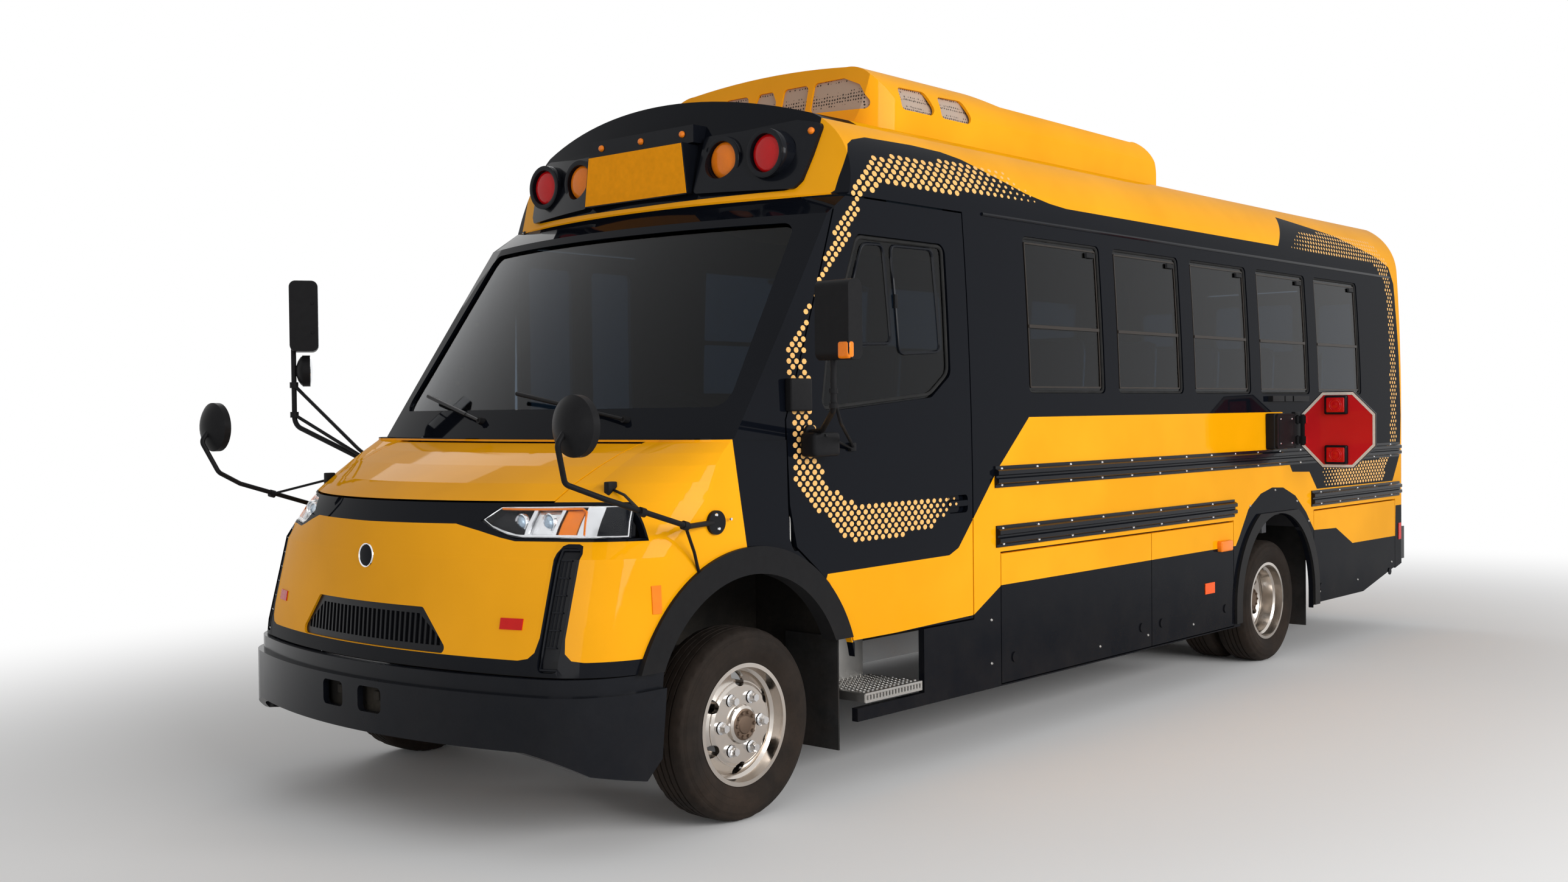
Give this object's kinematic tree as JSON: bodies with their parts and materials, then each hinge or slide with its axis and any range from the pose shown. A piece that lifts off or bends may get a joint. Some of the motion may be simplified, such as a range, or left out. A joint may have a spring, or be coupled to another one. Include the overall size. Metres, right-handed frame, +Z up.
{
  "type": "short school bus",
  "caption": "Short school bus on a cutaway-style chassis, with hollow saloon, opening doors, steered front wheels, twin rear wheels, roof fairing and swing-out sign arm.",
  "frame": {"origin": "on the floor under the middle of the bounding box", "axes": "nose towards -Y, +X to the vehicle's left, +Z up"},
  "size_m": [3.3342, 7.985, 3.207],
  "materials": {
    "yellow_paint": "gloss",
    "black_trim": "satin",
    "gloss_black": "gloss",
    "chassis_paint": "satin",
    "alloy": "brushed",
    "black_frame": "satin",
    "floor_covering": "matt",
    "tinted_glass": "gloss",
    "lamp_lens": "gloss",
    "rubber_parts": "matt",
    "cab_plastic": "grained",
    "seat_fabric": "woven",
    "sign_red": "gloss",
    "tyre_rubber": "matt",
    "polished_alloy": "polished",
    "steel": "brushed"
  },
  "bodies": {
    "coach": {"chassis_frame": "chassis_paint", "leaf_springs": "chassis_paint", "front_axle": "chassis_paint", "rear_axle": "chassis_paint", "battery_pack": "alloy", "floor": "floor_covering", "firewall": "chassis_paint", "roof": "yellow_paint", "left_side_wall": "yellow_paint", "right_side_wall": "yellow_paint", "front_cap": "yellow_paint", "body_glass": "tinted_glass", "window_frames": "black_frame", "nose": "yellow_paint", "headlamps": "lamp_lens", "grilles": "black_trim", "front_bumper": "gloss_black", "arch_lips": "black_trim", "rub_rails": "gloss_black", "rear_wall": "yellow_paint", "rear_bumper": "black_trim", "hinge_pins": "steel", "mudflaps": "rubber_parts", "driver_step": "steel", "dashboard": "cab_plastic", "seats": "seat_fabric", "roof_fairing": "yellow_paint", "lamp_panel": "gloss_black", "warning_lamps": "lamp_lens", "body_mirrors": "black_trim", "stop_arm_base": "black_trim", "wipers": "black_trim"},
    "hood": {"hood": "yellow_paint"},
    "driver_door": {"driver_door": "yellow_paint", "driver_door_glass": "tinted_glass", "left_mirror": "black_trim"},
    "entry_door_front": {"entry_door_front": "gloss_black", "entry_glass_front": "tinted_glass"},
    "entry_door_rear": {"entry_door_rear": "gloss_black", "entry_glass_rear": "tinted_glass"},
    "rear_door": {"rear_door": "yellow_paint", "rear_door_glass": "tinted_glass"},
    "stop_arm": {"stop_arm": "sign_red"},
    "skirt_door_left_front": {"skirt_door_left_front": "black_trim"},
    "skirt_door_left_middle": {"skirt_door_left_middle": "black_trim"},
    "skirt_door_left_rear": {"skirt_door_left_rear": "black_trim"},
    "skirt_door_right_front": {"skirt_door_right_front": "black_trim"},
    "skirt_door_right_rear": {"skirt_door_right_rear": "black_trim"},
    "steering_wheel": {"steering_wheel": "cab_plastic"},
    "knuckle_left": {"knuckle_left": "chassis_paint"},
    "knuckle_right": {"knuckle_right": "chassis_paint"},
    "wheel_front_left": {"tyre_front_left": "tyre_rubber", "wheel_front_left": "polished_alloy"},
    "wheel_front_right": {"tyre_front_right": "tyre_rubber", "wheel_front_right": "polished_alloy"},
    "wheels_rear_left": {"tyres_rear_left": "tyre_rubber", "wheel_rear_left": "polished_alloy"},
    "wheels_rear_right": {"tyres_rear_right": "tyre_rubber", "wheel_rear_right": "polished_alloy"}
  },
  "joints": [
    {"name": "steer_left", "type": "hinge", "parent": "coach", "child": "knuckle_left", "pos_m": [0.9, -2.955, 0.37], "axis": [0, 0, 1], "range_deg": [-35, 35]},
    {"name": "steer_right", "type": "hinge", "parent": "coach", "child": "knuckle_right", "pos_m": [-0.9, -2.955, 0.37], "axis": [0, 0, 1], "range_deg": [-35, 35]},
    {"name": "spin_front_left", "type": "hinge", "parent": "knuckle_left", "child": "wheel_front_left", "pos_m": [0.99, -2.955, 0.37], "axis": [1, 0, 0], "continuous": true},
    {"name": "spin_front_right", "type": "hinge", "parent": "knuckle_right", "child": "wheel_front_right", "pos_m": [-0.99, -2.955, 0.37], "axis": [1, 0, 0], "continuous": true},
    {"name": "spin_rear_left", "type": "hinge", "parent": "coach", "child": "wheels_rear_left", "pos_m": [0.816, 1.845, 0.37], "axis": [1, 0, 0], "continuous": true},
    {"name": "spin_rear_right", "type": "hinge", "parent": "coach", "child": "wheels_rear_right", "pos_m": [-0.816, 1.845, 0.37], "axis": [1, 0, 0], "continuous": true},
    {"name": "steering_wheel_turn", "type": "hinge", "parent": "coach", "child": "steering_wheel", "pos_m": [0.48, -2.625, 1.53], "axis": [0, 0.5736, 0.8192], "range_deg": [-630, 630]},
    {"name": "driver_door_hinge", "type": "hinge", "parent": "coach", "child": "driver_door", "pos_m": [1.105, -2.715, 1.4], "axis": [0, 0, -1], "range_deg": [0, 62]},
    {"name": "entry_front_hinge", "type": "hinge", "parent": "coach", "child": "entry_door_front", "pos_m": [-1.052, -2.297, 1.4], "axis": [0, 0, 1], "range_deg": [0, 85]},
    {"name": "entry_rear_hinge", "type": "hinge", "parent": "coach", "child": "entry_door_rear", "pos_m": [-1.052, -1.493, 1.4], "axis": [0, 0, -1], "range_deg": [0, 85]},
    {"name": "rear_door_hinge", "type": "hinge", "parent": "coach", "child": "rear_door", "pos_m": [-0.414, 3.953, 1.66], "axis": [0, 0, 1], "range_deg": [0, 100]},
    {"name": "hood_hinge", "type": "hinge", "parent": "coach", "child": "hood", "pos_m": [0, -3.285, 1.41], "axis": [-1, 0, 0], "range_deg": [0, 55]},
    {"name": "stop_arm_hinge", "type": "hinge", "parent": "coach", "child": "stop_arm", "pos_m": [1.178, 1.945, 1.42], "axis": [0, 0, 1], "range_deg": [0, 88]},
    {"name": "skirt_hinge_left_front", "type": "hinge", "parent": "coach", "child": "skirt_door_left_front", "pos_m": [1.111, -0.9, 0.891], "axis": [0, -1, 0], "range_deg": [0, 85]},
    {"name": "skirt_hinge_left_middle", "type": "hinge", "parent": "coach", "child": "skirt_door_left_middle", "pos_m": [1.111, 0.3, 0.891], "axis": [0, -1, 0], "range_deg": [0, 85]},
    {"name": "skirt_hinge_left_rear", "type": "hinge", "parent": "coach", "child": "skirt_door_left_rear", "pos_m": [1.111, 3, 0.891], "axis": [0, -1, 0], "range_deg": [0, 85]},
    {"name": "skirt_hinge_right_front", "type": "hinge", "parent": "coach", "child": "skirt_door_right_front", "pos_m": [-1.111, -0.9, 0.891], "axis": [0, 1, 0], "range_deg": [0, 85]},
    {"name": "skirt_hinge_right_rear", "type": "hinge", "parent": "coach", "child": "skirt_door_right_rear", "pos_m": [-1.111, 3, 0.891], "axis": [0, 1, 0], "range_deg": [0, 85]}
  ],
  "couplings": [
    {"joint": "steer_right", "follows": "steer_left", "ratio": 1},
    {"joint": "steering_wheel_turn", "follows": "steer_left", "ratio": 18}
  ]
}
